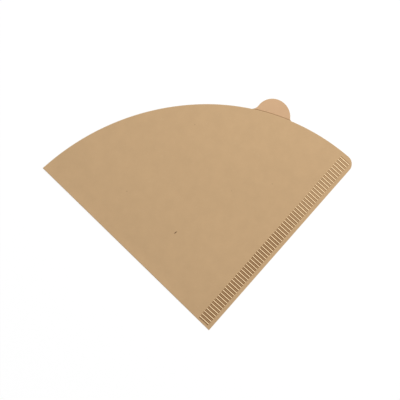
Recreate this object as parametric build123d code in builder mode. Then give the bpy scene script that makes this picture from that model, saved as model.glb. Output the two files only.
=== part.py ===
from build123d import *
import os
from math import atan, cos, floor, radians, sin, tan

# Paper coffee filter for a cone dripper, folded flat as it comes out of its pack.
# One sheet of paper is folded once, along the left edge, and its two plies are
# crimped together along the right edge. The rim is open, and the back ply has a tab.
# The tip points along -Y, the rim along +Y, and the back ply lies on the XY plane.
# The origin is the middle of the outline, on the surface that the filter rests on.
# All lengths are in millimetres.

# Sheet
paper_thickness = 0.2
opening_angle = 87.7  # degrees between the fold and the seam edge
fold_length = 132.2  # tip to rim along the fold
seam_length = 130.1  # tip to rim along the seam edge, as if its corner were sharp
crown_reach = 130.2  # tip to rim, midway between the fold and the seam
rim_lean = 0.6  # degrees that the rim falls towards the fold, where it passes the crown
seam_corner_radius = 5.5
mouth_gap = 0.6  # the front ply springs off the back ply by this much at the crown

# Finger tab, on the back ply alone
tab_radius = 10.4
tab_from_seam = 56.6  # along the rim, from the seam corner to the middle of the tab
tab_inset = 1.0  # from the rim in to the centre of the tab's round
tab_seam_side_blend = 2.0  # radius of the hollow between the tab and the rim
tab_fold_side_blend = 5.3

# Crimped seam
crimp_margin = 2.1  # plain paper between the seam edge and the crimps
crimp_width = 7.3  # length of one crest, across the seam
crimp_pitch = 2.0
crimp_rise = 0.25
crest_flank_angle = 42.0  # degrees that the sides and ends of a crest lean from upright
crimp_fold_clearance = 1.53  # plain paper between the fold and the first crest
crimp_rim_clearance = 2.5  # plain paper between the last crest and the rim
crest_edge_radius = 0.2  # rounding round the top of a crest
crest_width_share = 0.45  # of the pitch
seam_land = 0.6  # pressed paper between the crimps and the pocket

# Reach of blanks and cutters past what they trim
overrun = 5.0

# Directions from the tip, in plan
half_angle = radians(opening_angle / 2)
full_angle = radians(opening_angle)
fold_way = Vector(-sin(half_angle), cos(half_angle))
seam_way = Vector(sin(half_angle), cos(half_angle))
inward_from_fold = Vector(cos(half_angle), sin(half_angle))
inward_from_seam = Vector(-cos(half_angle), sin(half_angle))

# Corners of the outline, measured from the tip
fold_corner = fold_way * fold_length
seam_corner = seam_way * seam_length
crown = Vector(0, crown_reach)
rim_way = Vector(cos(radians(rim_lean)), sin(radians(rim_lean)))

# Outline of the front ply: two straight edges under a rim of two arcs, which meet
# without a kink at the crown. The left arc runs flatter, out to the longer fold.
with BuildSketch() as front_outline:
    with BuildLine():
        Line((0, 0), fold_corner)
        TangentArc(crown, fold_corner, tangent=-rim_way)
        seam_side_rim = TangentArc(crown, seam_corner, tangent=rim_way)
        Line(seam_corner, (0, 0))
    make_face()
    fillet(front_outline.vertices().sort_by_distance(seam_corner)[0], radius=seam_corner_radius)

# Outline of the back ply: the same, with the round finger tab blended into the rim,
# more gently on the side of the fold
tab_root = seam_side_rim @ (1 - tab_from_seam / seam_side_rim.length)
tab_centre = tab_root - tab_root.normalized() * tab_inset
with BuildSketch() as back_outline:
    add(front_outline.sketch)
    with Locations(tab_centre):
        Circle(tab_radius)
    tab_foot_ends = back_outline.vertices().sort_by_distance(tab_centre)[:2]
    fold_side_end, seam_side_end = tab_foot_ends.sort_by(Axis.X)
    fillet(fold_side_end, radius=tab_fold_side_blend)
    fillet(seam_side_end, radius=tab_seam_side_blend)

# The tip lies where it brings the middle of the outline onto the origin
outline_middle = back_outline.sketch.bounding_box().center()
tip = Vector(-outline_middle.X, -outline_middle.Y)
sheet_plane = Plane(origin=tip)

# Blank: both plies as they were die-cut, upright prisms that trim all that follows
plies_thickness = 2 * paper_thickness
with BuildPart() as blank:
    with BuildSketch(sheet_plane):
        add(front_outline.sketch)
    extrude(amount=plies_thickness + mouth_gap + overrun)
    with BuildSketch(sheet_plane):
        add(back_outline.sketch)
    extrude(amount=paper_thickness)

# Pocket: the hollow between the plies. Paper bends only one way at a time, so the
# front ply bows as part of a cone, whose point is the pocket's closed lower end.
# The cone is so flat that its axis stands nearly upright, and the sheet plane cuts it
# along two rays, one beside the fold and one beside the crimps.
band_inner = crimp_margin + crimp_width
pocket_from_seam = band_inner + seam_land
pocket_point = tip + (
    fold_way * (pocket_from_seam / sin(full_angle)) + seam_way * (paper_thickness / sin(full_angle))
)
crown_from_point = tip.Y + crown_reach - pocket_point.Y
bow_angle = atan(mouth_gap / crown_from_point)
axis_angle = atan((cos(bow_angle) - cos(half_angle)) / sin(bow_angle))
reach = fold_length + seam_length
axis_reach = reach * cos(axis_angle + bow_angle)
bow_section = Plane(origin=pocket_point, x_dir=(0, 1, 0), z_dir=(1, 0, 0))
with BuildPart() as pocket:
    with BuildSketch(bow_section):
        with BuildLine():
            Polyline(
                (0, 0),
                (reach * cos(bow_angle), reach * sin(bow_angle)),
                (axis_reach * cos(axis_angle), -axis_reach * sin(axis_angle)),
                close=True,
            )
        make_face()
    revolve(axis=Axis(pocket_point, (0, cos(axis_angle), -sin(axis_angle))))
    split(bisect_by=Plane.XY)

# Crests: low bars with sloping sides and ends, square to the seam edge, as the teeth
# of the crimping rollers press them. As many stand side by side as fit between the
# fold and the rim.
crest_width = crimp_pitch * crest_width_share
fold_at_band = max(crimp_margin / tan(full_angle), band_inner / tan(full_angle))
first_crest = (
    fold_at_band + paper_thickness / sin(full_angle) + crimp_fold_clearance + crest_width / 2
)
last_crest_limit = seam_length - crimp_rim_clearance - crest_width / 2
crimp_count = floor((last_crest_limit - first_crest) / crimp_pitch) + 1
band_middle = first_crest + (crimp_count - 1) * crimp_pitch / 2
band_plane = Plane(
    origin=tip + seam_way * band_middle + inward_from_seam * (band_inner - crimp_width / 2),
    x_dir=seam_way,
    z_dir=(0, 0, 1),
)
with BuildPart() as crests:
    with BuildSketch(band_plane):
        with GridLocations(crimp_pitch, crimp_width, crimp_count, 1):
            Rectangle(crest_width, crimp_width)
    extrude(amount=crimp_rise, taper=crest_flank_angle)
    fillet(crests.faces().group_by(Axis.Z)[-1].edges(), radius=crest_edge_radius)

# Folded sheet: a slab of two plies with a round nose along the fold, bowed over the
# pocket, trimmed to the blank, with each crest pressed up through both plies.
fold_section = Plane(origin=tip, x_dir=inward_from_fold, z_dir=-fold_way)
with BuildPart() as filter_sheet:
    with BuildSketch(fold_section):
        with BuildLine():
            Line((paper_thickness, 0), (reach, 0))
            Line((reach, 0), (reach, plies_thickness))
            Line((reach, plies_thickness), (paper_thickness, plies_thickness))
            ThreePointArc(
                (paper_thickness, plies_thickness), (0, paper_thickness), (paper_thickness, 0)
            )
        make_face()
    extrude(amount=reach, both=True)
    with Locations((0, 0, plies_thickness)):
        add(pocket.part)
    with Locations((0, 0, paper_thickness)):
        add(pocket.part, mode=Mode.SUBTRACT)
    with Locations((0, 0, plies_thickness)):
        add(crests.part)
    add(crests.part, mode=Mode.SUBTRACT)
    add(blank.part, mode=Mode.INTERSECT)

filter_sheet.part.label = "filter_sheet"
os.makedirs("parts", exist_ok=True)
export_step(filter_sheet.part, "parts/filter_sheet.step")
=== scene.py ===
"""Paper coffee filter, folded flat: the looks of its one sheet, and the studio that it lies in.

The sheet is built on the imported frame. Its plan is worked out in millimetres from the same
sizes as the solid, and its mesh is in metres, in the row frame: the tip points along -Y,
the open rim along +Y, the crimped seam is on the +X side, and the back ply lies on Z = 0.
"""

import logging
import math
from dataclasses import dataclass, field
from enum import Enum
from functools import cached_property
from typing import Any

import bpy
import numpy as np
from bpy.types import ID, GeometryNodeTree, Material, Mesh, Node, NodeSocket, NodeTree, Object
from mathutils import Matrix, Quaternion, Vector, geometry, noise


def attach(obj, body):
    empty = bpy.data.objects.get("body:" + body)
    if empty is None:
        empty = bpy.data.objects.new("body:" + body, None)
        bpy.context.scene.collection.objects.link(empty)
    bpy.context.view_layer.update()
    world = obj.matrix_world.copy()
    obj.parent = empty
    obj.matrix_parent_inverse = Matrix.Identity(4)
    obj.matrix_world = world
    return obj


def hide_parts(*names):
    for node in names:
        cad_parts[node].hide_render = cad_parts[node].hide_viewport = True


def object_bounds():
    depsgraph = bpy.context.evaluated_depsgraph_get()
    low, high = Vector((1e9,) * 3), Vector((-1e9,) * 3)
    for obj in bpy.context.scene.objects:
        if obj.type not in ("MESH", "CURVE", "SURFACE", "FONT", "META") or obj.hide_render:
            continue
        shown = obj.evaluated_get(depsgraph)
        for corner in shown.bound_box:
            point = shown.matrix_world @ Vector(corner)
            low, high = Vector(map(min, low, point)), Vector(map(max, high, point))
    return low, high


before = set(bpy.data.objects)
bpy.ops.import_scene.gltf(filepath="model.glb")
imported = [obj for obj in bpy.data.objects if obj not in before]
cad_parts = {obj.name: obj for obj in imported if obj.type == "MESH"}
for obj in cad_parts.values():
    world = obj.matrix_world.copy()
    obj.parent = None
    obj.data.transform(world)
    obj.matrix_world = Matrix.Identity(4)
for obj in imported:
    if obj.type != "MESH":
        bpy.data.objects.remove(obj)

log = logging.getLogger("paper_filter")

MM = 0.001
CAD_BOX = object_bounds()
WHITE = (1.0, 1.0, 1.0, 1.0)
MARKS = ("stack_share", "inner_face", "cut_edge", "rim_crease")  # told by each point of the sheet

Plan = np.ndarray  # rows of x and y, in millimetres


def linear_colour(hex_code: str) -> tuple[float, float, float, float]:
    """Turns an sRGB hex colour into the linear one that Blender's sockets take.

    Args:
        hex_code: six hex digits after a hash sign.

    Returns:
        Red, green and blue as linear values, and an alpha of 1.
    """
    channels = [int(hex_code[i : i + 2], 16) / 255 for i in (1, 3, 5)]
    linear = [c / 12.92 if c <= 0.04045 else ((c + 0.055) / 1.055) ** 2.4 for c in channels]
    return (*linear, 1.0)


def smooth_step(share: np.ndarray) -> np.ndarray:
    """Eases shares between 0 and 1 in and out."""
    return share * share * (3 - 2 * share)


def add_node(
    tree: NodeTree, kind: str, sockets: dict[str | int, Any] | None = None, **settings: Any
) -> Node:
    """Adds one node to a tree, with its settings, values and links.

    Args:
        tree: the material or geometry tree.
        kind: the node's type name.
        sockets: what goes into its inputs, by name or place: a value, an output to link, or a
            node, which stands for the first of its outputs that is in use.
        settings: the node's properties, by name.

    Returns:
        The new node.
    """
    node = tree.nodes.new(kind)
    for name, value in settings.items():
        setattr(node, name, value)
    for key, value in (sockets or {}).items():
        if isinstance(value, Node):
            value = next(output for output in value.outputs if output.enabled)
        if isinstance(value, NodeSocket):
            tree.links.new(value, node.inputs[key])
        else:
            node.inputs[key].default_value = value
    return node


def add_object(name: str, data: ID) -> Object:
    """Puts a new object into the scene.

    Args:
        name: the object's name.
        data: its mesh, camera or light.

    Returns:
        The object.
    """
    made = bpy.data.objects.new(name, data)
    bpy.context.scene.collection.objects.link(made)
    return made


class Face(Enum):
    """The four faces of the folded sheet, from the table up, as shares of the stack."""

    BACK_OUTER = 0.0
    BACK_INNER = 0.45
    FRONT_INNER = 0.55
    FRONT_OUTER = 1.0


@dataclass(frozen=True)
class FilterPlan:
    """The die-cut outline of both plies, in millimetres from the tip.

    The sizes are the solid's own, and so is its place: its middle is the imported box's.
    """

    opening_angle: float = 87.7
    fold_length: float = 132.2
    seam_length: float = 130.1
    crown_reach: float = 130.2
    rim_lean: float = 0.6
    seam_corner_radius: float = 5.5
    tab_radius: float = 10.4
    tab_from_seam: float = 56.6
    tab_inset: float = 1.0
    tab_seam_side_blend: float = 2.0
    tab_fold_side_blend: float = 5.3
    fold_radius: float = 0.2
    edge_step: float = 0.9
    corner_step: float = 0.35

    @property
    def half_angle(self) -> float:
        """Half the angle between the fold and the seam edge, in radians."""
        return math.radians(self.opening_angle / 2)

    @cached_property
    def tip(self) -> np.ndarray:
        """Where the tip is in the row frame, in millimetres."""
        loop, _ = self.loop(with_tab=True)
        outline = np.vstack([loop, np.zeros(2), self.fold_way * self.fold_length])
        box = (CAD_BOX[0] + CAD_BOX[1]) / 2 / MM
        return np.array(box.xy) - (outline.min(0) + outline.max(0)) / 2

    @property
    def fold_way(self) -> np.ndarray:
        """Direction from the tip along the fold."""
        return np.array([-math.sin(self.half_angle), math.cos(self.half_angle)])

    @property
    def seam_way(self) -> np.ndarray:
        """Direction from the tip along the seam edge."""
        return np.array([math.sin(self.half_angle), math.cos(self.half_angle)])

    @property
    def from_fold(self) -> np.ndarray:
        """Direction square to the fold, into the sheet."""
        return np.array([math.cos(self.half_angle), math.sin(self.half_angle)])

    @property
    def from_seam(self) -> np.ndarray:
        """Direction square to the seam edge, into the sheet."""
        return np.array([-math.cos(self.half_angle), math.sin(self.half_angle)])

    @cached_property
    def seam_side_rim(self) -> tuple[np.ndarray, float]:
        """Centre and radius of the rim's arc from the crown to the seam corner."""
        return self.rim_circle(self.seam_way * self.seam_length)

    def rim_circle(self, corner: np.ndarray) -> tuple[np.ndarray, float]:
        """Finds the rim's arc that leans as the rim does at the crown, and ends at a corner.

        Args:
            corner: the fold corner or the seam corner.

        Returns:
            The arc's centre and its radius.
        """
        lean = math.radians(self.rim_lean)
        crown = np.array([0.0, self.crown_reach])
        inward = np.array([math.sin(lean), -math.cos(lean)])
        chord = corner - crown
        radius = (chord @ chord) / (2 * chord @ inward)
        return crown + inward * radius, radius

    def walk(self, start: np.ndarray, end: np.ndarray, centre: np.ndarray | None, step: float) -> Plan:
        """Walks an edge from its start up to, but not onto, its end.

        Args:
            start: its first point.
            end: its last point.
            centre: what it bends round, the short way, or None where it is straight.
            step: the greatest distance between the points.

        Returns:
            The points.
        """
        if centre is None:
            count = max(1, math.ceil(np.linalg.norm(end - start) / step))
            return start + (end - start) * (np.arange(count) / count)[:, None]
        first = math.atan2(*(start - centre)[::-1])
        turn = math.atan2(*(end - centre)[::-1]) - first
        turn = (turn + math.pi) % (2 * math.pi) - math.pi
        radius = np.linalg.norm(start - centre)
        count = max(1, math.ceil(abs(turn) * radius / step))
        angles = first + turn * np.arange(count) / count
        return centre + radius * np.column_stack([np.cos(angles), np.sin(angles)])

    def corner_round(self) -> tuple[np.ndarray, np.ndarray, np.ndarray]:
        """Finds the round that joins the seam edge to the rim.

        Returns:
            Its centre, where it leaves the seam edge, and where it meets the rim.
        """
        rim_centre, rim_radius = self.seam_side_rim
        base = self.from_seam * self.seam_corner_radius - rim_centre
        along = base @ self.seam_way
        span = (rim_radius - self.seam_corner_radius) ** 2 - base @ base + along**2
        foot = self.seam_way * (math.sqrt(span) - along)
        centre = foot + self.from_seam * self.seam_corner_radius
        outward = (centre - rim_centre) / np.linalg.norm(centre - rim_centre)
        return centre, foot, rim_centre + outward * rim_radius

    def tab_centre(self) -> np.ndarray:
        """Finds the finger tab's round.

        Returns:
            Its centre.
        """
        centre, radius = self.seam_side_rim
        corner = self.seam_way * self.seam_length
        turn = math.atan2(*(corner - centre)[::-1]) + self.tab_from_seam / radius
        root = centre + radius * np.array([math.cos(turn), math.sin(turn)])
        return root - root / np.linalg.norm(root) * self.tab_inset

    def tab_blends(self) -> list[tuple[np.ndarray, np.ndarray, np.ndarray]]:
        """Finds the two hollows where the tab runs into the rim, the seam side's first.

        Returns:
            For each, its centre, where it meets the rim, and where it meets the tab.
        """
        rim_centre, rim_radius = self.seam_side_rim
        tab = self.tab_centre()
        apart = np.linalg.norm(tab - rim_centre)
        way = (tab - rim_centre) / apart
        right = np.array([way[1], -way[0]])
        found = []
        for side, blend in ((1, self.tab_seam_side_blend), (-1, self.tab_fold_side_blend)):
            to_rim = rim_radius + blend
            to_tab = self.tab_radius + blend
            along = (apart**2 + to_rim**2 - to_tab**2) / (2 * apart)
            aside = math.sqrt(to_rim**2 - along**2)
            centre = rim_centre + way * along + right * aside * side
            on_rim = rim_centre + (centre - rim_centre) * rim_radius / to_rim
            on_tab = tab + (centre - tab) * self.tab_radius / to_tab
            found.append((centre, on_rim, on_tab))
        return found

    def loop(self, with_tab: bool) -> tuple[Plan, int]:
        """Walks a ply's outline from the tip, up the seam edge, along the rim and down the fold.

        The fold's side is its hinge line, where the ply turns into the rounded fold.

        Args:
            with_tab: whether the ply has the finger tab.

        Returns:
            The outline's points, and the place of the hinge line's first point in them.
        """
        seam_start = self.seam_way * (self.fold_radius / math.sin(2 * self.half_angle))
        round_centre, foot, round_end = self.corner_round()
        rim_centre, _ = self.seam_side_rim
        left_centre, left_radius = self.rim_circle(self.fold_way * self.fold_length)
        crown = np.array([0.0, self.crown_reach])
        hinge_base = self.from_fold * self.fold_radius - left_centre
        along = hinge_base @ self.fold_way
        rise = math.sqrt(left_radius**2 - hinge_base @ hinge_base + along**2) - along
        hinge_top = self.from_fold * self.fold_radius + self.fold_way * rise
        stops = [(foot, None, self.edge_step), (round_end, round_centre, self.corner_step)]
        if with_tab:
            (right, right_rim, right_tab), (left, left_rim, left_tab) = self.tab_blends()
            tab = self.tab_centre()
            top = tab + self.tab_radius * tab / np.linalg.norm(tab)
            stops.append((right_rim, rim_centre, self.edge_step))
            for stop, centre in ((right_tab, right), (top, tab), (left_tab, tab), (left_rim, left)):
                stops.append((stop, centre, self.corner_step))
        stops += [
            (crown, rim_centre, self.edge_step),
            (hinge_top, left_centre, self.edge_step),
            (seam_start, None, self.edge_step),
        ]
        start = seam_start
        walks = []
        for end, centre, step in stops:
            walks.append(self.walk(start, end, centre, step))
            start = end
        return np.vstack(walks), sum(len(walk) for walk in walks[:-1])


@dataclass(frozen=True)
class CrimpedSeam:
    """The crimps that hold the plies together along the seam edge, in millimetres.

    Toothed rollers press a row of narrow crests up through both plies, and squeeze the
    paper between them thin. The second group of sizes places the mesh's points: columns
    run across the seam, rows run along it, and past the crimps the rows grow sparser.
    """

    margin: float = 2.1
    width: float = 7.3
    pitch: float = 2.0
    first_crest: float = 2.56
    count: int = 63
    rise: float = 0.25
    squeeze: float = 0.05
    crest_top: float = 0.17
    crest_foot: float = 0.38
    floor_swell: float = 0.04
    swell_foot: float = 0.53
    # How much paler the middle of each floor is painted, as painted light, and how much less it is squeezed
    swell_relief: float = 0.87
    end_slope: float = 0.3
    uneven: float = 0.12
    outer_uneven_share: float = 0.4
    height_uneven_share: float = 0.06
    fade_end_share: float = 1.15  # of half a pitch, off the ridge of the first or last crest
    firm_until: float = 58.0
    softest_from: float = 108.0
    softest: float = 0.71
    seed: int = 7

    flank_columns: int = 4
    foot_column_share: float = 1.2  # of crest_foot
    floor_column_share: float = 0.36  # of the pitch
    end_columns_past: float = 0.2
    end_rows: tuple[float, ...] = (-0.25, 0.0, 0.12, 0.25, 0.4, 0.75)  # in from a crest's end
    middle_rows: int = 4
    middle_rows_from: float = 1.6
    # Each sparse row's distance past the close ones, and its step
    outer_sparse_rows: tuple[tuple[float, float], ...] = ((0.55, 0.5), (1.1, 0.8))
    inner_sparse_rows: tuple[tuple[float, float], ...] = ((0.4, 0.4), (1.1, 0.8))
    sparse_rows_before: float = 0.7
    sparse_rows_past: float = 0.6

    @cached_property
    def columns(self) -> np.ndarray:
        """Places of the mesh's columns along the seam, closest on the crests' flanks."""
        flank = np.linspace(self.crest_top, self.crest_foot, self.flank_columns)
        beside = [self.crest_foot * self.foot_column_share, self.pitch * self.floor_column_share]
        half = np.append(flank, beside)
        within = np.concatenate([-half[::-1], [0.0], half, [self.pitch / 2]])
        places = (self.first_crest + self.pitch * np.arange(self.count))[:, None] + within
        return np.concatenate([[self.first_crest - self.pitch / 2], places.ravel()])

    @cached_property
    def rows(self) -> np.ndarray:
        """Places of the mesh's rows across the seam, closest at the ends of the crests."""
        outer, inner = self.margin, self.margin + self.width
        ends = np.array(self.end_rows)
        reach = self.middle_rows_from
        middle = np.linspace(outer + reach, inner - reach, self.middle_rows)
        return np.concatenate([outer + ends, middle, (inner - ends)[::-1]])

    def mesh_places(self) -> np.ndarray:
        """Lists the points that the mesh needs to hold the crimps and ease into the open sheet.

        Returns:
            For each, how far it is along the seam edge and inward from it.
        """
        columns, rows = self.columns, self.rows
        places = [np.array(np.meshgrid(columns, rows)).reshape(2, -1).T]
        sparse = [(rows[0] - past, step) for past, step in self.outer_sparse_rows]
        sparse += [(rows[-1] + past, step) for past, step in self.inner_sparse_rows]
        first, end = columns[0] - self.sparse_rows_before, columns[-1] + self.sparse_rows_past
        for row, step in sparse:
            along = np.arange(first, end, step)
            places.append(np.column_stack([along, np.full_like(along, row)]))
        for column in (columns[0] - self.end_columns_past, columns[-1] + self.end_columns_past):
            places.append(np.column_stack([np.full_like(rows, column), rows]))
        return np.vstack(places)

    def sizes(self) -> dict[str, float]:
        """Gives the tree's own inputs.

        Returns:
            Lengths in metres and two shares, by the inputs' names.
        """
        lengths = (
            "margin", "width", "pitch", "first_crest", "rise", "squeeze", "crest_top", "crest_foot",
            "floor_swell", "swell_foot", "end_slope", "uneven", "firm_until", "softest_from",
        )
        given = {name: getattr(self, name) * MM for name in lengths}
        given["last_crest"] = (self.first_crest + (self.count - 1) * self.pitch) * MM
        given |= {"softest": self.softest, "swell_relief": self.swell_relief}
        return {name.replace("_", " ").title(): value for name, value in given.items()}

    def steps(self) -> tuple[tuple[Any, ...], ...]:
        """Says how the rollers shape a point, one step for each node.

        Returns:
            For each step, its result's name, what it does, and what it does it to.
        """
        chance = {"Min": -1.0, "Max": 1.0, "ID": "number"}
        lowest = 1 - self.height_uneven_share
        return (
            # Which crest is nearest, and how far its ridge line is
            ("from first", "SUBTRACT", "along", "First Crest"),
            ("place", "DIVIDE", "from first", "Pitch"),
            ("row", "SUBTRACT", "Last Crest", "First Crest"),
            ("pitches", "DIVIDE", "row", "Pitch"),
            ("last", "ROUND", "pitches"),
            ("nearest", "ROUND", "place"),
            ("not before", "MAXIMUM", "nearest", 0.0),
            ("number", "MINIMUM", "not before", "last"),
            ("off centre", "SUBTRACT", "place", "number"),
            ("off pitches", "ABSOLUTE", "off centre"),
            ("off ridge", "MULTIPLY", "off pitches", "Pitch"),
            # No two crests come out of the rollers quite alike
            ("inner seed", "ADD", "Seed", 1.0),
            ("height seed", "ADD", "Seed", 2.0),
            ("outer chance", "FLOAT", chance | {"Seed": "Seed"}),
            ("inner chance", "FLOAT", chance | {"Seed": "inner seed"}),
            ("height chance", "FLOAT", chance | {"Seed": "height seed"}),
            ("less uneven", "MULTIPLY", "Uneven", self.outer_uneven_share),
            ("outer end", "MULTIPLY_ADD", "outer chance", "less uneven", "Margin"),
            ("band inner", "ADD", "Margin", "Width"),
            ("inner end", "MULTIPLY_ADD", "inner chance", "Uneven", "band inner"),
            ("height share", "MULTIPLY_ADD", "height chance", self.height_uneven_share, lowest),
            ("height", "MULTIPLY", "Rise", "height share"),
            # How much of the band's full relief there is here
            ("outer slope", "ADD", "outer end", "End Slope"),
            ("inner slope", "SUBTRACT", "inner end", "End Slope"),
            ("from outer", "SMOOTHSTEP", "across", "outer end", "outer slope"),
            ("from inner", "SMOOTHSTEP", "across", "inner end", "inner slope"),
            ("band", "MULTIPLY", "from outer", "from inner"),
            ("ridge", "SMOOTHSTEP", "off ridge", "Crest Foot", "Crest Top"),
            ("crest", "MULTIPLY", "ridge", "band"),
            # The floors swell a little midway between two crests
            ("half pitch", "MULTIPLY", "Pitch", 0.5),
            ("row start", "SUBTRACT", "First Crest", "half pitch"),
            ("row end", "ADD", "Last Crest", "half pitch"),
            ("past start", "GREATER_THAN", "along", "row start"),
            ("before end", "LESS_THAN", "along", "row end"),
            ("in row", "MULTIPLY", "past start", "before end"),
            ("midway", "SMOOTHSTEP", "off ridge", "Swell Foot", "half pitch"),
            ("row swell", "MULTIPLY", "midway", "in row"),
            ("swell", "MULTIPLY", "row swell", "band"),
            # The pressed mark is strongest at the crests' feet, where its dark tone is painted shade of the
            # steep walls, and eases off midway, a painted lighter middle of the floor, and from midway
            # along to the rim; it also sets how far the floors are squeezed
            ("past row", "MULTIPLY", "half pitch", self.fade_end_share),
            ("beyond", "SMOOTHSTEP", "off ridge", "half pitch", "past row"),
            ("near row", "SUBTRACT", 1.0, "beyond"),
            ("floor", "SUBTRACT", 1.0, "ridge"),
            ("far along", "SMOOTHSTEP", "along", "Firm Until", "Softest From"),
            ("softness", "SUBTRACT", 1.0, "Softest"),
            ("loss", "MULTIPLY", "far along", "softness"),
            ("firmness", "SUBTRACT", 1.0, "loss"),
            ("relief", "MULTIPLY", "Swell Relief", "midway"),
            ("hardness", "SUBTRACT", "firmness", "relief"),
            ("row floor", "MULTIPLY", "floor", "near row"),
            ("band floor", "MULTIPLY", "row floor", "band"),
            ("pressed", "MULTIPLY", "band floor", "hardness"),
            # The floors are squeezed from above, so a face gives way by its share of the stack
            ("face squeeze", "MULTIPLY", "Squeeze", "share"),
            ("sink", "MULTIPLY", "face squeeze", "pressed"),
            ("face swell", "MULTIPLY", "Floor Swell", "share"),
            ("swelling", "MULTIPLY", "face swell", "swell"),
            ("lift", "MULTIPLY", "height", "crest"),
            ("lift over floor", "SUBTRACT", "lift", "sink"),
            ("shift", "ADD", "lift over floor", "swelling"),
        )

    def tree(self) -> GeometryNodeTree:
        """Builds the tree that presses the crimps into a flat folded sheet.

        Returns:
            A geometry tree with an input for each of the seam's sizes.
        """
        tree = bpy.data.node_groups.new("crimp_rollers", "GeometryNodeTree")
        inputs = {"Sheet": "Geometry", "Tip": "Vector", "Seam Way": "Vector", "Inward": "Vector"}
        inputs |= dict.fromkeys(self.sizes(), "Float") | {"Seed": "Int", "Paper": "Material"}
        for name, kind in inputs.items():
            tree.interface.new_socket(name, in_out="INPUT", socket_type=f"NodeSocket{kind}")
        tree.interface.new_socket("Sheet", in_out="OUTPUT", socket_type="NodeSocketGeometry")
        given = add_node(tree, "NodeGroupInput").outputs
        made: dict[Any, Any] = {socket.name: socket for socket in given}

        # Where a point is, along the seam from the tip and inward from the seam edge
        position = {0: add_node(tree, "GeometryNodeInputPosition"), 1: given["Tip"]}
        from_tip = add_node(tree, "ShaderNodeVectorMath", position, operation="SUBTRACT")
        for name, way in (("along", "Seam Way"), ("across", "Inward")):
            both = {0: from_tip, 1: given[way]}
            made[name] = add_node(tree, "ShaderNodeVectorMath", both, operation="DOT_PRODUCT")
        made["share"] = add_node(tree, "GeometryNodeInputNamedAttribute", {"Name": "stack_share"})

        # Each step names its result and says how it is made, from numbers and earlier results
        kinds = {
            "SMOOTHSTEP": ("ShaderNodeMapRange", "interpolation_type"),
            "FLOAT": ("FunctionNodeRandomValue", "data_type"),
        }
        for name, action, *terms in self.steps():
            kind, setting = kinds.get(action, ("ShaderNodeMath", "operation"))
            named = terms[0].items() if isinstance(terms[0], dict) else enumerate(terms)
            sockets = {key: made.get(term, term) for key, term in named}
            made[name] = add_node(tree, kind, sockets, **{setting: action})

        sheet = given["Sheet"]
        # The crest mark also carries the painted highlight, and the pressed mark the painted shade in the
        # grooves
        for name in ("crest", "pressed"):
            sockets = {"Geometry": sheet, "Name": name, "Value": made[name]}
            sheet = add_node(tree, "GeometryNodeStoreNamedAttribute", sockets)
        offset = add_node(tree, "ShaderNodeCombineXYZ", {"Z": made["shift"]})
        moved = add_node(tree, "GeometryNodeSetPosition", {"Geometry": sheet, "Offset": offset})
        whole = add_node(tree, "GeometryNodeRealizeInstances", {"Geometry": moved})
        done = add_node(tree, "GeometryNodeSetMaterial", {"Geometry": whole, "Material": given["Paper"]})
        add_node(tree, "NodeGroupOutput", {"Sheet": done})
        return tree

    def press(self, sheet: Object, plan: FilterPlan, paper: Material) -> None:
        """Presses the crimps into the sheet and leaves it a plain mesh.

        Args:
            sheet: the folded sheet, still smooth.
            plan: the outline that the seam's directions come from.
            paper: the sheet's material.
        """
        tree = self.tree()
        rollers = sheet.modifiers.new("crimp_rollers", "NODES")
        rollers.node_group = tree
        values: dict[str, Any] = self.sizes() | {
            "Tip": (*(plan.tip * MM), 0.0),
            "Seam Way": (*plan.seam_way, 0.0),
            "Inward": (*plan.from_seam, 0.0),
            "Seed": self.seed,
            "Paper": paper,
        }
        for item in tree.interface.items_tree:
            if item.in_out == "INPUT" and item.name in values:
                rollers[item.identifier] = values[item.name]
        depsgraph = bpy.context.evaluated_depsgraph_get()
        pressed = bpy.data.meshes.new_from_object(
            sheet.evaluated_get(depsgraph), preserve_all_data_layers=True, depsgraph=depsgraph
        )
        sheet.modifiers.clear()
        smooth = sheet.data
        sheet.data = pressed
        bpy.data.meshes.remove(smooth)


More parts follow.
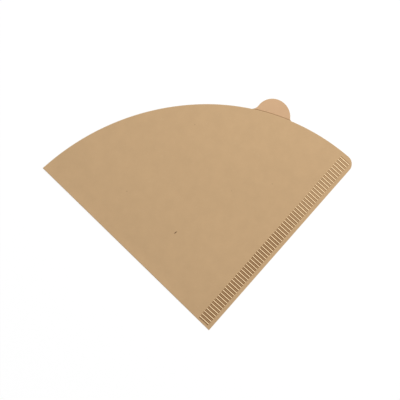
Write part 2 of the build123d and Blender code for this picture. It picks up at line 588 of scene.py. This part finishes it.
@dataclass(frozen=True)
class UnbleachedFilterPaper:
    """Unbleached filter paper, wet-laid from softwood kraft pulp and left uncoated.

    The eye gets a matt, warm tan with faint clouds where the fibres lie thicker, a few
    darker shives and paler fibres, and no gloss. Squeezed between rollers the fibres close
    up, so the pressed floors of the crimps are a little darker; the rest of their dark tone is
    painted shade in the grooves, and the crests' pale tone is a painted highlight. The inner
    face is painted paler, as painted light of the white table through the single ply at the
    tab, and the foot of the tab carries a painted shadow of the front ply's rim.
    """

    sheet: str = "#C4A37B"
    # painted light of the white table showing through the single ply, on the inner face at the tab
    inner: str = "#CCA782"
    # partly the denser pressed paper, partly painted shade in the crimps' grooves
    pressed: str = "#6E410F"
    # painted highlight on the crimps' crests
    crest: str = "#FFE1B4"
    cut: str = "#D3B58D"
    # painted shadow of the front ply's rim across the foot of the tab
    crease: str = "#8A673F"
    shive: str = "#5A4026"
    pale_fibre: str = "#D3B792"
    roughness: float = 0.92
    ior: float = 1.45
    specular: float = 0.25
    drift_mm: float = 60.0
    drift_range: float = 0.015
    drift_detail: float = 2.0
    cloud_mm: float = 7.0
    cloud_range: float = 0.025
    cloud_detail: float = 5.0
    cloud_roughness: float = 0.55
    cloud_noise: tuple[float, float] = (0.3, 0.7)
    fibre_mm: float = 0.5
    fibre_stretch: float = 4.5
    fibre_show: float = 0.22
    fibre_detail: float = 3.0
    fibre_noise: tuple[float, float] = (0.62, 0.78)
    shive_spacing_mm: float = 21.0
    shive_mm: float = 0.4
    shive_show: float = 0.3
    shive_chance: tuple[float, float] = (0.7, 0.95)
    bark_place_mm: tuple[float, float, float] = (-15.3, -10.0, 0.8)
    bark_size_mm: tuple[float, float, float] = (2.8, 0.75, 1.2)
    bark_turn: float = 38.0
    bark_core_share: float = 0.4
    grain_mm: float = 0.28
    grain_height_mm: float = 0.03
    grain_show: float = 0.25
    grain_detail: float = 4.0

    def build(self) -> Material:
        """Builds the material.

        Returns:
            The material, on Object coordinates and the sheet's own attributes.
        """
        material = bpy.data.materials.new("unbleached_wet_laid_filter_paper")
        material.use_nodes = True
        tree = material.node_tree
        tree.nodes.clear()
        place = add_node(tree, "ShaderNodeTexCoord").outputs["Object"]
        colour = self.regions(tree)
        for lay in (self.formation, self.fibres, self.shives):
            colour = lay(tree, place, colour)
        look = {"Scale": 1 / (self.grain_mm * MM), "Detail": self.grain_detail}
        grain = add_node(tree, "ShaderNodeTexNoise", {"Vector": place} | look)
        look = {"Strength": self.grain_show, "Distance": self.grain_height_mm * MM}
        bump = add_node(tree, "ShaderNodeBump", {"Height": grain} | look)
        look = {"Roughness": self.roughness, "IOR": self.ior, "Specular IOR Level": self.specular}
        surface = {"Base Color": colour, "Normal": bump} | look
        shader = add_node(tree, "ShaderNodeBsdfPrincipled", surface)
        add_node(tree, "ShaderNodeOutputMaterial", {"Surface": shader})
        return material

    def regions(self, tree: NodeTree) -> Node:
        """Colours the sheet's faces, cut edges, crimp floors and crests, with painted light and shade.

        Args:
            tree: the material's tree.

        Returns:
            The node that gives the colour.
        """
        colour: Any = linear_colour(self.sheet)
        # The inner face's paler tone is painted light through the single ply at the tab, the rim line's
        # dark tone is a painted shadow of the front ply's rim, the pressed floors' dark tone is partly
        # denser paper and partly painted shade, and the crests' pale tone is a painted highlight
        for region, tone in (
            ("inner_face", self.inner),
            ("cut_edge", self.cut),
            ("rim_crease", self.crease),
            ("pressed", self.pressed),
            ("crest", self.crest),
        ):
            share = add_node(tree, "ShaderNodeAttribute", attribute_name=region).outputs["Fac"]
            mixed = {0: share, 6: colour, 7: linear_colour(tone)}
            colour = add_node(tree, "ShaderNodeMix", mixed, data_type="RGBA")
        return colour

    def formation(self, tree: NodeTree, place: NodeSocket, colour: Node) -> Node:
        """Adds the faint clouds that fibres settle in, and a slow drift over the whole sheet.

        Args:
            tree: the material's tree.
            place: the Object coordinates.
            colour: the node that gives the colour so far.

        Returns:
            The node that gives the colour with the clouds.
        """
        low, high = self.cloud_noise
        for size, spread, detail in (
            (self.drift_mm, self.drift_range, self.drift_detail),
            (self.cloud_mm, self.cloud_range, self.cloud_detail),
        ):
            look = {"Scale": 1 / (size * MM), "Detail": detail, "Roughness": self.cloud_roughness}
            clouds = add_node(tree, "ShaderNodeTexNoise", {"Vector": place} | look)
            limits = {"From Min": low, "From Max": high, "To Min": 1 - spread, "To Max": 1 + spread}
            share = add_node(tree, "ShaderNodeMapRange", {"Value": clouds} | limits)
            scaled = {"Vector": colour, "Scale": share}
            colour = add_node(tree, "ShaderNodeVectorMath", scaled, operation="SCALE")
        return colour

    def fibres(self, tree: NodeTree, place: NodeSocket, colour: Node) -> Node:
        """Adds pale fibres, which lie in two ways across each other.

        Real ones are 0.03 mm wide, and are drawn coarser here so that they show.

        Args:
            tree: the material's tree.
            place: the Object coordinates.
            colour: the node that gives the colour so far.

        Returns:
            The node that gives the colour with the fibres.
        """
        low, high = self.fibre_noise
        for stretch in ((1.0, 1 / self.fibre_stretch, 1.0), (1 / self.fibre_stretch, 1.0, 1.0)):
            laid = add_node(tree, "ShaderNodeMapping", {"Vector": place, "Scale": stretch})
            look = {"Scale": 1 / (self.fibre_mm * MM), "Detail": self.fibre_detail}
            strands = add_node(tree, "ShaderNodeTexNoise", {"Vector": laid} | look)
            limits = {"From Min": low, "From Max": high, "To Max": self.fibre_show}
            share = add_node(tree, "ShaderNodeMapRange", {"Value": strands} | limits)
            mixed = {0: share, 6: colour, 7: linear_colour(self.pale_fibre)}
            colour = add_node(tree, "ShaderNodeMix", mixed, data_type="RGBA")
        return colour

    def shives(self, tree: NodeTree, place: NodeSocket, colour: Node) -> Node:
        """Adds shives, the dark bits of bark and bundle that lie far apart, and one long one.

        Args:
            tree: the material's tree.
            place: the Object coordinates.
            colour: the node that gives the colour so far.

        Returns:
            The node that gives the colour with the shives.
        """
        spaced = {"Vector": place, "Scale": 1 / (self.shive_spacing_mm * MM)}
        bits = add_node(tree, "ShaderNodeTexVoronoi", spaced, voronoi_dimensions="2D")
        chance = add_node(tree, "ShaderNodeSeparateColor", {0: bits.outputs["Color"]})
        low, high = self.shive_chance
        limits = {"From Min": low, "From Max": high, "To Max": self.shive_show}
        chosen = add_node(tree, "ShaderNodeMapRange", {"Value": chance} | limits)
        radius = self.shive_mm / self.shive_spacing_mm
        falling = {"To Min": 1.0, "To Max": 0.0}
        limits = {"From Min": radius / 2, "From Max": radius} | falling
        near = add_node(tree, "ShaderNodeMapRange", {"Value": bits} | limits)
        short = add_node(tree, "ShaderNodeMath", {0: near, 1: chosen}, operation="MULTIPLY")
        one = {
            "Location": Vector(self.bark_place_mm) * MM,
            "Rotation": (0.0, 0.0, math.radians(self.bark_turn)),
            "Scale": Vector(self.bark_size_mm) * MM / 2,
        }
        laid = add_node(tree, "ShaderNodeMapping", {"Vector": place} | one, vector_type="TEXTURE")
        reach = add_node(tree, "ShaderNodeVectorMath", {0: laid}, operation="LENGTH")
        limits = {"From Min": self.bark_core_share} | falling
        bark = add_node(tree, "ShaderNodeMapRange", {"Value": reach} | limits)
        share = add_node(tree, "ShaderNodeMath", {0: short, 1: bark}, operation="MAXIMUM")
        mixed = {0: share, 6: colour, 7: linear_colour(self.shive)}
        return add_node(tree, "ShaderNodeMix", mixed, data_type="RGBA")


@dataclass
class SheetInMaking:
    """The sheet's mesh while it is put together, in millimetres.

    Each point's row is its place and then one number for each of the marks.
    """

    points: list[np.ndarray] = field(default_factory=list)
    faces: list[tuple[int, ...]] = field(default_factory=list)
    sharp: set[frozenset[int]] = field(default_factory=set)

    def lay(self, plan: Plan, height: np.ndarray, **marks: Any) -> np.ndarray:
        """Lays points.

        Args:
            plan: where they are in plan.
            height: how high each is.
            marks: one number for all of them or for each, by name. The others are 0.

        Returns:
            The points' numbers.
        """
        first = sum(len(points) for points in self.points)
        told = [np.broadcast_to(marks.get(name, 0.0), len(plan)) for name in MARKS]
        self.points.append(np.column_stack([plan, height, *told]))
        return np.arange(first, first + len(plan))

    def fill(self, *corners: np.ndarray) -> None:
        """Adds a face for each place in the given rows, with a corner out of each row."""
        self.faces.extend(zip(*(row.tolist() for row in corners)))

    def crisp(self, row: np.ndarray) -> None:
        """Makes the edges along a row of points shade as sharp ones."""
        self.sharp.update(map(frozenset, zip(row[:-1].tolist(), row[1:].tolist())))

    def pour(self) -> Mesh:
        """Makes the mesh, in metres.

        Returns:
            The mesh.
        """
        points = np.vstack(self.points)
        mesh = bpy.data.meshes.new("folded_filter_paper")
        mesh.from_pydata((points[:, :3] * MM).tolist(), [], self.faces)
        for name, values in zip(MARKS, points[:, 3:].T):
            layer = mesh.attributes.new(name, "FLOAT", "POINT")
            layer.data.foreach_set("value", values.astype(np.float32))
        mesh.shade_smooth()
        for edge in mesh.edges:
            edge.use_edge_sharp = frozenset(edge.vertices) in self.sharp
        mesh.validate(verbose=False)
        mesh.update()
        return mesh


@dataclass(frozen=True)
class FoldedSheet:
    """The one sheet of the filter, folded along the left and open at the rim, in millimetres.

    The second group of sizes places the mesh's points: a lining just inside the cut edge,
    and an open field of equal triangles, which keeps clear of the edge and of the crimps.
    """

    plan: FilterPlan = field(default_factory=FilterPlan)
    seam: CrimpedSeam = field(default_factory=CrimpedSeam)
    thickness: float = 0.2
    seam_gap: float = 0.012
    mouth_gap: float = 0.5
    bow_power: float = 1.5
    pocket_from_seam: float = 10.0
    pocket_from_fold: float = 0.6
    fold_spring: float = 0.45
    fold_spring_reach: float = 9.0
    fold_spring_power: float = 3.0
    fold_held_until: float = 12.0
    fold_free_from: float = 34.0
    ripple: float = 0.07
    ripple_length: float = 38.0
    ripple_ease: float = 25.0
    ripple_seed: float = 3.0
    # A slight crease across the tab's foot, just past the front ply's rim, which carries the rim's painted
    # shadow
    crease_from_rim: float = 0.32
    crease_half_width: float = 0.3
    crease_depth: float = 0.05
    crease_row_shares: tuple[float, ...] = (-1, -0.5, 0, 0.5, 1, 2.5)

    fold_steps: int = 8
    cut_reach: float = 0.25
    lining_clear: float = 0.2
    field_step: float = 2.4
    field_clear_share: float = 0.55
    field_past_rows: float = 2.2
    field_past_columns: float = 1.6
    merge_reach: float = 1e-5
    thin_area: float = 1e-4

    def creased(self, points: Plan) -> np.ndarray:
        """Works out the line across the foot of the tab, just past the front ply's rim, that is sunk a
        little and painted with the rim's shadow.

        Args:
            points: places in plan, from the tip.

        Returns:
            A share from 0 to 1 at each place.
        """
        centre, radius = self.plan.seam_side_rim
        past_rim = np.linalg.norm(points - centre, axis=1) - radius
        share = np.clip(1 - np.abs(past_rim - self.crease_from_rim) / self.crease_half_width, 0, 1)
        _, (_, fold_side, _) = self.plan.tab_blends()
        return share * (points[:, 0] > fold_side[0])

    def crease_points(self) -> Plan:
        """Lists the points that the mesh needs across the foot of the tab to hold the crease and its
        painted shadow.

        Returns:
            The points.
        """
        (_, seam_side, _), (_, fold_side, _) = self.plan.tab_blends()
        centre, radius = self.plan.seam_side_rim
        line = self.plan.walk(seam_side, fold_side, centre, self.plan.corner_step)
        offsets = self.crease_from_rim + self.crease_half_width * np.array(self.crease_row_shares)
        return np.vstack([centre + (line - centre) * (radius + offset) / radius for offset in offsets])

    def field_points(self, loop: Plan) -> Plan:
        """Spreads the corners of equal triangles over an outline's box, clear of the crimps.

        Args:
            loop: the outline.

        Returns:
            The corners.
        """
        step = self.field_step
        low, high = loop.min(0), loop.max(0)
        spread = []
        for count, line in enumerate(np.arange(low[1], high[1], step * math.sqrt(3) / 2)):
            places = np.arange(low[0] + (count % 2) * step / 2, high[0], step)
            spread.append(np.column_stack([places, np.full_like(places, line)]))
        points = np.vstack(spread)
        past_rows = points @ self.plan.from_seam > self.seam.rows[-1] + self.field_past_rows
        past_columns = points @ self.plan.seam_way > self.seam.columns[-1] + self.field_past_columns
        return points[past_rows | past_columns]

    def triangles(self, loop: Plan, extra: Plan) -> tuple[Plan, np.ndarray]:
        """Fills an outline with triangles, close together along the crimps and open elsewhere.

        Args:
            loop: the outline, counter-clockwise.
            extra: more points that the mesh must have.

        Returns:
            The plan's points, the outline's first, and the triangles' corners.
        """
        band = self.seam.mesh_places()
        band = band[:, :1] * self.plan.seam_way + band[:, 1:] * self.plan.from_seam

        # A line of points just inside the cut edge carries the tone of the cut
        following = np.roll(loop, -1, axis=0) - np.roll(loop, 1, axis=0)
        inward = np.column_stack([-following[:, 1], following[:, 0]])
        inward /= np.linalg.norm(inward, axis=1)[:, None]
        lining = loop + inward * self.cut_reach
        lining = lining[self.well_inside(lining, loop, self.lining_clear)]

        spread = self.field_points(loop)
        spread = spread[self.well_inside(spread, loop, self.field_step * self.field_clear_share)]
        inner = np.vstack([band, extra, lining, spread])
        inner = inner[self.well_inside(inner, loop, self.lining_clear)]
        points = [Vector(p) for p in np.vstack([loop, inner])]
        ring = [(i, (i + 1) % len(loop)) for i in range(len(loop))]
        whole_hull = 0
        made, _, faces, *_ = geometry.delaunay_2d_cdt(points, ring, [], whole_hull, self.merge_reach)
        flat, corners = np.array([tuple(p) for p in made]), np.array(faces)

        # The hull's triangles beyond the outline go, with those of no width along a straight edge
        a, b, c = (flat[corners[:, k]] for k in range(3))
        turn = (b - a)[:, 0] * (c - a)[:, 1] - (b - a)[:, 1] * (c - a)[:, 0]
        inside = self.well_inside((a + b + c) / 3, loop, 0.0)
        return flat, corners[inside & (np.abs(turn) > self.thin_area)]

    def well_inside(self, points: Plan, loop: Plan, clearance: float) -> np.ndarray:
        """Says which points are inside an outline and clear of its edge.

        Args:
            points: the points to test.
            loop: the outline, counter-clockwise.
            clearance: the least distance from the edge.

        Returns:
            One truth value for each point.
        """
        starts, ends = loop, np.roll(loop, -1, axis=0)
        inside = np.zeros(len(points), bool)
        nearest = np.full(len(points), np.inf)
        for (x1, y1), (x2, y2) in zip(starts, ends):
            crosses = (y1 > points[:, 1]) != (y2 > points[:, 1])
            if y1 != y2:
                inside ^= crosses & (points[:, 0] < (x2 - x1) * (points[:, 1] - y1) / (y2 - y1) + x1)
            way = np.array([x2 - x1, y2 - y1])
            share = np.clip(((points - (x1, y1)) @ way) / (way @ way), 0, 1)
            gap = np.linalg.norm(points - (x1, y1) - share[:, None] * way, axis=1)
            nearest = np.minimum(nearest, gap)
        return inside & (nearest >= clearance)

    def sprung(self, points: Plan) -> np.ndarray:
        """Works out how far the fold has sprung open, past the crimps that hold it near the tip.

        Args:
            points: places in plan, from the tip.

        Returns:
            The height at each place, which dies away from the fold inward.
        """
        span = self.fold_free_from - self.fold_held_until
        free = np.clip((points @ self.plan.fold_way - self.fold_held_until) / span, 0, 1)
        inward = (points @ self.plan.from_fold - self.plan.fold_radius) / self.fold_spring_reach
        fading = (1 - np.clip(inward, 0, 1)) ** self.fold_spring_power
        return self.fold_spring * smooth_step(free) * fading

    def opening(self, points: Plan) -> np.ndarray:
        """Works out how far the front ply stands off the back ply.

        The ply bends only one way, so it stands off in proportion to the distance from the
        closed end, and most midway between the fold and the crimps. A pressed fold springs
        open a little too.

        Args:
            points: places in plan, from the tip.

        Returns:
            The gap at each place.
        """
        plan = self.plan
        full = 2 * plan.half_angle
        point = plan.fold_way * (self.pocket_from_seam / math.sin(full))
        point = point + plan.seam_way * (self.pocket_from_fold / math.sin(full))
        way = points - point
        reach = np.linalg.norm(way, axis=1)
        turn = np.abs(np.arctan2(way[:, 0], way[:, 1])) / plan.half_angle
        bow = np.clip(1 - turn**2, 0, None) ** self.bow_power
        full_reach = plan.crown_reach - point[1]
        return self.mouth_gap * reach / full_reach * bow + self.seam_gap + self.sprung(points)

    def ripples(self, points: Plan) -> np.ndarray:
        """Works out the slight ripples that paper takes on from damp air.

        Args:
            points: places in plan, from the tip.

        Returns:
            A height from 0 to 1 at each place, 0 along the seam and the fold.
        """
        spots = (Vector((x, y, self.ripple_seed)) / self.ripple_length for x, y in points)
        raw = np.array([noise.noise(spot) for spot in spots])
        off_seam = (points @ self.plan.from_seam - self.pocket_from_seam) / self.ripple_ease
        off_fold = points @ self.plan.from_fold / self.ripple_ease
        ease = np.clip(off_seam, 0, 1) * np.clip(off_fold, 0, 1)
        return (raw * 0.5 + 0.5) * smooth_step(ease)

    def lay_plies(self, making: SheetInMaking) -> dict[Face, np.ndarray]:
        """Lays both plies, each with its two faces and the cut edge between them.

        Args:
            making: the mesh to lay them in.

        Returns:
            For each face, its points along the fold, from the rim to the tip.
        """
        hinges = {}
        for with_tab, extra, under, over in (
            (True, self.crease_points(), Face.BACK_OUTER, Face.BACK_INNER),
            (False, np.empty((0, 2)), Face.FRONT_INNER, Face.FRONT_OUTER),
        ):
            loop, hinge = self.plan.loop(with_tab)
            flat, corners = self.triangles(loop, extra)
            cut = np.arange(len(flat)) <= hinge
            base = np.zeros(len(flat))
            if not with_tab:
                base = self.thickness + self.opening(flat) + self.ripple * self.ripples(flat)
            crease = self.creased(flat)
            cuts = []
            for face, height in ((under, base), (over, base + self.thickness)):
                # The back ply's inner face is sunk a little along the crease, which also carries the front
                # ply's rim's painted shadow
                marked = crease * (face is Face.BACK_INNER)
                index = making.lay(
                    flat + self.plan.tip,
                    height - self.crease_depth * marked,
                    stack_share=face.value,
                    inner_face=face in (Face.BACK_INNER, Face.FRONT_INNER),
                    cut_edge=cut,
                    rim_crease=marked,
                )
                order = corners if face is over else corners[:, ::-1]
                making.fill(*index[order].T)
                hinges[face] = np.append(index[hinge : len(loop)], index[0])
                cuts.append(index[: hinge + 1])
                making.crisp(cuts[-1])
            low, high = cuts
            making.fill(low[:-1], low[1:], high[1:], high[:-1])
        return hinges

    def lay_fold(self, making: SheetInMaking, hinges: dict[Face, np.ndarray]) -> None:
        """Lays the rounded fold, from under the back ply to the top of the front ply.

        Args:
            making: the mesh to lay it in.
            hinges: for each face, its points along the fold.
        """
        layers = [hinges[Face.BACK_OUTER]]
        plies = np.vstack(making.points)
        line = plies[layers[0], :2]
        fold_height = plies[hinges[Face.FRONT_OUTER], 2]
        for step in range(1, self.fold_steps):
            turn = math.pi * step / self.fold_steps
            out = line - self.plan.from_fold * self.plan.fold_radius * math.sin(turn)
            height = fold_height / 2 * (1 - math.cos(turn))
            layers.append(making.lay(out, height, stack_share=step / self.fold_steps))
        layers.append(hinges[Face.FRONT_OUTER])
        for lower, upper in zip(layers[:-1], layers[1:]):
            making.fill(lower[:-1], lower[1:], upper[1:], upper[:-1])

        # Its inside is a narrow wall from ply to ply
        floor, roof = hinges[Face.BACK_INNER], hinges[Face.FRONT_INNER]
        making.fill(floor[:-1], roof[:-1], roof[1:], floor[1:])
        making.crisp(floor)
        making.crisp(roof)

        # Its two ends are cut, at the rim and at the tip
        middle = self.fold_steps // 2
        for end, order in ((0, 1), (-1, -1)):
            nose = np.array(layers)[:, end]
            inside = np.where(np.arange(self.fold_steps) < middle, floor[end], roof[end])
            making.fill(inside, *(nose[:-1], nose[1:])[::order])
            making.fill(*np.array([floor[end], nose[middle], roof[end]])[::order, None])
            making.crisp(nose)

    def build(self, paper: Material) -> Object:
        """Builds the finished sheet and puts it in the CAD node's place.

        Args:
            paper: the sheet's material.

        Returns:
            The sheet.
        """
        making = SheetInMaking()
        self.lay_fold(making, self.lay_plies(making))
        sheet = add_object("folded_filter_paper", making.pour())
        self.seam.press(sheet, self.plan, paper)
        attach(sheet, "root")
        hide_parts("filter_sheet")
        sheet.data.calc_loop_triangles()
        log.info("%s: %d triangles", sheet.name, len(sheet.data.loop_triangles))
        return sheet


@dataclass(frozen=True)
class PhotoCamera:
    """The photograph's own view: from almost straight above, a little from the lower left.

    Lengths are in millimetres. The sheet's upright leans away from the line of sight by
    lean, towards lean_towards in the picture, counted anticlockwise from its right.
    """

    distance: float = 700.0
    look_from_tip: tuple[float, float] = (-2.335, 74.746)
    lean: float = 8.0
    lean_towards: float = 32.6
    roll: float = 1.84
    sensor: float = 36.0
    lens: float = 109.45
    nearest: float = 10.0
    farthest: float = 100000.0

    def build(self, plan: FilterPlan) -> Object:
        """Builds the camera and makes it the scene's.

        Args:
            plan: the outline, whose tip the camera is placed from.

        Returns:
            The camera.
        """
        tilt, way = math.radians(self.lean), math.radians(self.lean_towards)
        upright = Vector((math.sin(tilt) * math.cos(way), math.sin(tilt) * math.sin(way), math.cos(tilt)))
        level = upright.rotation_difference(Vector((0, 0, 1)))
        turn = Quaternion((0, 0, 1), -math.radians(self.roll)) @ level
        data = bpy.data.cameras.new("photo_camera")
        data.sensor_width = self.sensor
        data.lens = self.lens
        data.clip_start, data.clip_end = self.nearest * MM, self.farthest * MM
        camera = add_object("photo_camera", data)
        camera.rotation_mode = "QUATERNION"
        camera.rotation_quaternion = turn
        look_at = Vector((*(plan.tip + self.look_from_tip), 0)) * MM
        camera.location = look_at + turn @ Vector((0, 0, self.distance * MM))
        bpy.context.scene.camera = camera
        return camera


@dataclass(frozen=True)
class Studio:
    """A plain white table, even light from all round, and a soft box at the upper right.

    Lengths are in metres. The sky and the main light are even over the table, and the near
    soft box brightens the rim and the seam's end a little, as in the picture.
    """

    table_size: float = 12.0
    table: str = "#F8F8F8"
    table_seen: str = "#616161"
    table_glow: float = 0.897
    backdrop: float = 1.0
    sky: float = 0.50
    main_light: float = 0.63
    main_softness: float = 40.0
    main_distance: float = 2.0
    main_elevation: float = 62.0
    light_azimuth: float = 56.0
    soft_box: float = 0.63
    soft_box_size: float = 0.2
    soft_box_distance: float = 0.40
    soft_box_elevation: float = 52.0

    def split_by_eye(self, tree: NodeTree, output: str, lit: Node, seen: Node) -> None:
        """Ends a tree so that only the camera sees one shader, and all light meets the other.

        Args:
            tree: the material's or the world's tree.
            output: the kind of its output node.
            lit: the shader that light meets.
            seen: the shader that the camera sees.
        """
        ray = add_node(tree, "ShaderNodeLightPath").outputs["Is Camera Ray"]
        either = add_node(tree, "ShaderNodeMixShader", {0: ray, 1: lit, 2: seen})
        add_node(tree, output, {"Surface": either})

    def table_top(self) -> None:
        """Builds the table top, which is evenly white for the camera and keeps the shadow."""
        mesh = bpy.data.meshes.new("table_top")
        half = self.table_size / 2
        corners = [(-half, -half, 0), (half, -half, 0), (half, half, 0), (-half, half, 0)]
        mesh.from_pydata(corners, [], [(0, 1, 2, 3)])
        material = bpy.data.materials.new("white_laminate_matt")
        material.use_nodes = True
        tree = material.node_tree
        tree.nodes.clear()
        plain, shaded = (
            add_node(tree, "ShaderNodeBsdfDiffuse", {"Color": linear_colour(tone)})
            for tone in (self.table, self.table_seen)
        )
        glow = add_node(tree, "ShaderNodeEmission", {"Color": WHITE, "Strength": self.table_glow})
        seen = add_node(tree, "ShaderNodeAddShader", {0: shaded, 1: glow})
        self.split_by_eye(tree, "ShaderNodeOutputMaterial", plain, seen)
        mesh.materials.append(material)
        add_object("table_top", mesh)

    def world(self) -> None:
        """Builds the even light from all round, which the camera sees as white."""
        world = bpy.data.worlds.new("white_studio")
        world.use_nodes = True
        tree = world.node_tree
        tree.nodes.clear()
        light, seen = (
            add_node(tree, "ShaderNodeBackground", {"Color": WHITE, "Strength": strength})
            for strength in (self.sky, self.backdrop)
        )
        self.split_by_eye(tree, "ShaderNodeOutputWorld", light, seen)
        bpy.context.scene.world = world

    def lamps(self) -> None:
        """Builds the soft main light, and a nearer one that brightens the upper right."""
        sun = bpy.data.lights.new("main_light", "SUN")
        sun.energy = self.main_light
        sun.angle = math.radians(self.main_softness)
        box = bpy.data.lights.new("near_soft_box", "AREA")
        box.energy = self.soft_box
        box.shape = "DISK"
        box.size = self.soft_box_size
        turn = math.radians(self.light_azimuth)
        for data, elevation, distance in (
            (sun, self.main_elevation, self.main_distance),
            (box, self.soft_box_elevation, self.soft_box_distance),
        ):
            rise = math.radians(elevation)
            way = Vector((math.cos(rise) * math.cos(turn), math.cos(rise) * math.sin(turn), math.sin(rise)))
            lamp = add_object(data.name, data)
            lamp.rotation_mode = "QUATERNION"
            lamp.rotation_quaternion = (-way).to_track_quat("-Z", "Y")
            lamp.location = way * distance
            lamp.visible_camera = False

    def build(self) -> None:
        """Builds the table, the light and what lies beyond."""
        self.table_top()
        self.world()
        self.lamps()
        log.info("studio: %s", ", ".join(light.name for light in bpy.data.lights))


def main() -> None:
    """Builds the camera, the filter and the studio."""
    logging.basicConfig(level=logging.INFO, format="%(name)s: %(message)s")
    bpy.context.scene.view_settings.view_transform = "Standard"
    filter_sheet = FoldedSheet()
    camera = PhotoCamera().build(filter_sheet.plan)
    log.info("%s: %.1f mm lens", camera.name, camera.data.lens)
    paper = UnbleachedFilterPaper().build()
    filter_sheet.build(paper)
    Studio().build()


if __name__ == "__main__":
    main()
